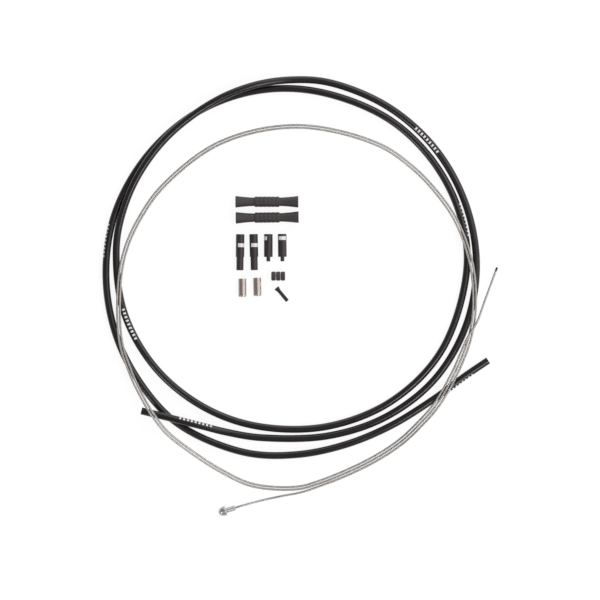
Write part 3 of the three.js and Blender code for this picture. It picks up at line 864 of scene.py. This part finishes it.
ROOM_STRENGTH = 0.27
LAMP_DISTANCE = 2
LAMPS = {
    "softbox_upper_right": ((0.55, 0.6, 0.57), 1.5, 12),
    "softbox_right": ((0.85, 0.05, 0.5), 1.8, 9),
    "softbox_overhead_right": ((0.36, 0.05, 0.93), 0.8, 2.2),
    "low_softbox_top": ((0.05, 0.96, 0.26), 1.8, 14),
    "small_lamp_lower_right": ((0.435, -0.435, 0.79), 0.6, 9),
    "small_lamp_lower_left": ((-0.58, -0.58, 0.57), 0.45, 6),
}
SENSOR_WIDTH = 36
FARTHEST_SEEN = 20
# What the camera and bright metal see of the board: a little grey that takes shadow, and white
VEIL_GREY = 0.14
GLOW_STRENGTH = 0.9


# Operators


class BRAKECABLE_OT_stage(bpy.types.Operator):
    """Lay the floor, set the lamps and point the camera"""

    bl_idname = "brakecable.stage"
    bl_label = "Stage"

    def execute(self, context):
        scene, given = context.scene, context.scene.cable_stage
        scene.view_settings.view_transform = "Standard"
        camera = bpy.data.objects.new("camera", bpy.data.cameras.new("camera"))
        middle = VIEW_MIDDLE - SET_MIDDLE
        camera.location = (middle.x, middle.y, housing_bore() + given.camera_height)
        camera.data.sensor_width = SENSOR_WIDTH
        camera.data.lens = SENSOR_WIDTH * given.camera_height / given.view_width
        camera.data.clip_end = FARTHEST_SEEN
        scene.collection.objects.link(camera)
        scene.camera = camera

        floor = bpy.data.meshes.new("floor")
        corners = [(-1, -1, 0), (1, -1, 0), (1, 1, 0), (-1, 1, 0)]
        corners = [Vector(corner) * given.floor_reach for corner in corners]
        floor.from_pydata(corners, [], [(0, 1, 2, 3)])
        place_piece("floor", floor, white_board(given.floor_colour))

        world = bpy.data.worlds.new("pale_room")
        world.use_nodes = True
        room = world.node_tree.nodes["Background"]
        room.inputs["Color"].default_value = (1, 1, 1, 1)
        room.inputs["Strength"].default_value = ROOM_STRENGTH
        scene.world = world
        for name, (way, size, power) in LAMPS.items():
            light = bpy.data.lights.new(name, "AREA")
            light.shape = "SQUARE"
            light.size = size
            light.energy = power
            lamp = bpy.data.objects.new(name, light)
            lamp.location = Vector(way).normalized() * LAMP_DISTANCE
            lamp.rotation_euler = Vector(way).to_track_quat("Z", "Y").to_euler()
            scene.collection.objects.link(lamp)
        return {"FINISHED"}


def white_board(colour):
    """Matt white board. The camera and bright metal see it as white, with the cable's shadow."""
    made = bpy.data.materials.new("matt_white_board")
    made.use_nodes = True
    tree = made.node_tree
    tree.nodes.clear()
    rays = add_node(tree, "ShaderNodeLightPath")
    plain = add_node(tree, "ShaderNodeBsdfDiffuse", {"Color": colour})[0]
    veil = add_node(tree, "ShaderNodeBsdfDiffuse", {"Color": (VEIL_GREY,) * 3 + (1,)})[0]
    glow = {"Color": (1, 1, 1, 1), "Strength": GLOW_STRENGTH}
    glow = add_node(tree, "ShaderNodeEmission", glow)[0]
    seen = add_node(tree, "ShaderNodeAddShader", (veil, glow))[0]
    looking = rays["Is Camera Ray"]
    for kind in ("Is Glossy Ray", "Is Transmission Ray"):
        looking = (looking, rays[kind])
        looking = add_node(tree, MATH, looking, operation="MAXIMUM")[0]
    mixed = add_node(tree, "ShaderNodeMixShader", (looking, plain, seen))[0]
    add_node(tree, "ShaderNodeOutputMaterial", (mixed,))
    return made


class BRAKECABLE_OT_housing(bpy.types.Operator):
    """Lay the outer housing: jacket, wound steel strip and liner"""

    bl_idname = "brakecable.housing"
    bl_label = "Housing"

    def execute(self, context):
        given = context.scene.cable_housing
        points = [on_ring(row, HOUSING_RING_MIDDLE, given.diameter) for row in HOUSING_ROUTE]
        route, full_length = smooth_route(points, given.ring_spacing)
        tube = tube_tree()
        finish = extruded_jacket(given.jacket_colour, given.print_colour)
        skin = {"Diameter": given.diameter, "Sides": 28, "Material": finish}
        jacket = grow("housing_jacket_skin", route, tube, skin, given.jacket_wall)
        strip_outer = given.diameter / 2 - given.jacket_wall - given.layer_gap
        winding = {
            "Middle Radius": strip_outer - given.strip_thickness / 2,
            "Thickness": given.strip_thickness,
            "Width": given.strip_width,
            "Pitch": given.strip_pitch,
            "Material": galvanised_strip(given.strip_colour),
        }
        strip = grow("housing_wound_strip", route, wound_strip_tree(), winding)
        liner_outer = strip_outer - given.strip_thickness - given.layer_gap
        finish = liner_polymer(given.liner_colour)
        skin = {"Diameter": 2 * liner_outer, "Sides": 14, "Material": finish}
        liner = grow("housing_liner_tube", route, tube, skin, given.liner_wall)
        ride_on(jacket, "housing_jacket")
        ride_on(strip, "housing_steel_strip")
        ride_on(liner, "housing_liner")
        return {"FINISHED"}


class BRAKECABLE_OT_inner_wire(bpy.types.Operator):
    """Lay the stranded inner wire and cast its head"""

    bl_idname = "brakecable.inner_wire"
    bl_label = "Inner wire"

    def execute(self, context):
        given, head = context.scene.cable_wire, context.scene.cable_head
        points = wire_points(given.diameter, head)
        route, full_length = smooth_route(points, given.ring_spacing)
        finish = drawn_steel(given.colour, given.tip_colour, full_length, given.fused_tip)
        sizes = ("Diameter", "Strands", "Groove", "Lay")
        strands = {size: getattr(given, size.lower()) for size in sizes} | {"Material": finish}
        wire = grow("stranded_inner_wire", route, strands_tree(), strands)
        ride_on(wire, "inner_wire")
        start = (NECK_END - neck_way() * (head.thickness + head.neck_length)) / MM
        place, rest = (start.x, start.y, NECK_ANGLE), head.diameter / 2
        profile, finish = head_profile(head), cast_zinc(head.colour)
        casting = lay_turned(
            "cast_", "cable_head", "head", profile, finish, rest, place, closed=False
        )
        return {"FINISHED"}


class BRAKECABLE_OT_frame_sleeves(bpy.types.Operator):
    """Lay the two flared rubber sleeves"""

    bl_idname = "brakecable.frame_sleeves"
    bl_label = "Frame sleeves"

    def execute(self, context):
        given = context.scene.cable_fittings
        profile, finish = sleeve_profile(given), moulded_rubber(given.rubber_colour)
        rest = housing_bore() + given.sleeve_end_wall
        for node in ("frame_sleeve_upper", "frame_sleeve_lower"):
            lay_turned("rubber_", node, "rubber", profile, finish, rest, sides=64)
        return {"FINISHED"}


class BRAKECABLE_OT_plastic_ferrules(bpy.types.Operator):
    """Lay the long-nose and thin-nose plastic ferrules"""

    bl_idname = "brakecable.plastic_ferrules"
    bl_label = "Plastic ferrules"

    def execute(self, context):
        given = context.scene.cable_fittings
        ink = context.scene.cable_housing.print_colour
        finish = moulded_plastic(given.plastic_colour, ink)
        for node, roll in FERRULE_ROLL.items():
            kind = node.split("_")[0]
            gap, tip, bar = FERRULE_KINDS[kind]
            names = ("body_wall", "body_length", "nose_wall", "nose_length")
            sizes = [getattr(given, f"{kind}_{name}") for name in names]
            profile = ferrule_profile(given.wall_behind_seat, *sizes, wire_radius() + gap, tip)
            pattern = {"roll": roll, "start": bar}
            rest = housing_bore() + sizes[0]
            lay_turned("moulded_", node, "plastic", profile, finish, rest, **pattern)
        return {"FINISHED"}


class BRAKECABLE_OT_metal_ferrules(bpy.types.Operator):
    """Lay the two drawn metal ferrules"""

    bl_idname = "brakecable.metal_ferrules"
    bl_label = "Metal ferrules"

    def execute(self, context):
        given = context.scene.cable_fittings
        profile, finish = metal_ferrule_profile(given), nickel_plate(given.nickel_colour)
        rest = housing_bore() + given.metal_wall
        for node in ("metal_ferrule_left", "metal_ferrule_right"):
            lay_turned("drawn_", node, "nickel", profile, finish, rest, sides=64)
        return {"FINISHED"}


class BRAKECABLE_OT_wire_donuts(bpy.types.Operator):
    """Stand the three rubber donuts side by side"""

    bl_idname = "brakecable.wire_donuts"
    bl_label = "Wire donuts"

    def execute(self, context):
        given = context.scene.cable_fittings
        profile, finish = donut_profile(given), moulded_rubber(given.rubber_colour)
        rest, spacing = given.donut_diameter / 2, given.donut_spacing / MM
        x, y, angle = PLACES[DONUTS[0]]
        for step, node in enumerate(DONUTS):
            place = (x + step * spacing, y, angle)
            lay_turned("rubber_", node, "rubber", profile, finish, rest, place, sides=48)
        return {"FINISHED"}


class BRAKECABLE_OT_end_crimp(bpy.types.Operator):
    """Lay the flared crimp for the wire's tip"""

    bl_idname = "brakecable.end_crimp"
    bl_label = "End crimp"

    def execute(self, context):
        given = context.scene.cable_fittings
        mouth = wire_radius() + SLIDE_GAP + given.crimp_wall + given.crimp_flare
        dip = math.asin(given.crimp_flare / (given.crimp_length - CRIMP_END_ROUNDING))
        profile, finish = crimp_profile(given), anodised_aluminium(given.crimp_colour)
        shape = {"dip": dip, "sides": 40, "closed": False}
        rest = mouth * math.cos(dip)
        lay_turned("pressed_", "end_crimp", "crimp", profile, finish, rest, **shape)
        return {"FINISHED"}


OPERATORS = [
    BRAKECABLE_OT_stage,
    BRAKECABLE_OT_housing,
    BRAKECABLE_OT_inner_wire,
    BRAKECABLE_OT_frame_sleeves,
    BRAKECABLE_OT_plastic_ferrules,
    BRAKECABLE_OT_metal_ferrules,
    BRAKECABLE_OT_wire_donuts,
    BRAKECABLE_OT_end_crimp,
]


class BRAKECABLE_PT_panel(bpy.types.Panel):
    """Lists the steps that build the brake cable"""

    bl_idname = "BRAKECABLE_PT_panel"
    bl_label = "Brake Cable"
    bl_space_type = "VIEW_3D"
    bl_region_type = "UI"
    bl_category = "Brake Cable"

    def draw(self, context):
        for operator in OPERATORS:
            self.layout.operator(operator.bl_idname)
        for name, group in SETTINGS.items():
            box = self.layout.box()
            for field in group.__annotations__:
                box.prop(getattr(context.scene, name), field)


def register():
    for kind in [*SETTINGS.values(), *OPERATORS, BRAKECABLE_PT_panel]:
        bpy.utils.register_class(kind)
    for name, kind in SETTINGS.items():
        setattr(bpy.types.Scene, name, bpy.props.PointerProperty(type=kind))


def unregister():
    for name in SETTINGS:
        delattr(bpy.types.Scene, name)
    for kind in [BRAKECABLE_PT_panel, *reversed(OPERATORS), *reversed(SETTINGS.values())]:
        bpy.utils.unregister_class(kind)


def main():
    register()
    for operator in OPERATORS:
        group, name = operator.bl_idname.split(".")
        getattr(getattr(bpy.ops, group), name)()


if __name__ == "__main__":
    main()
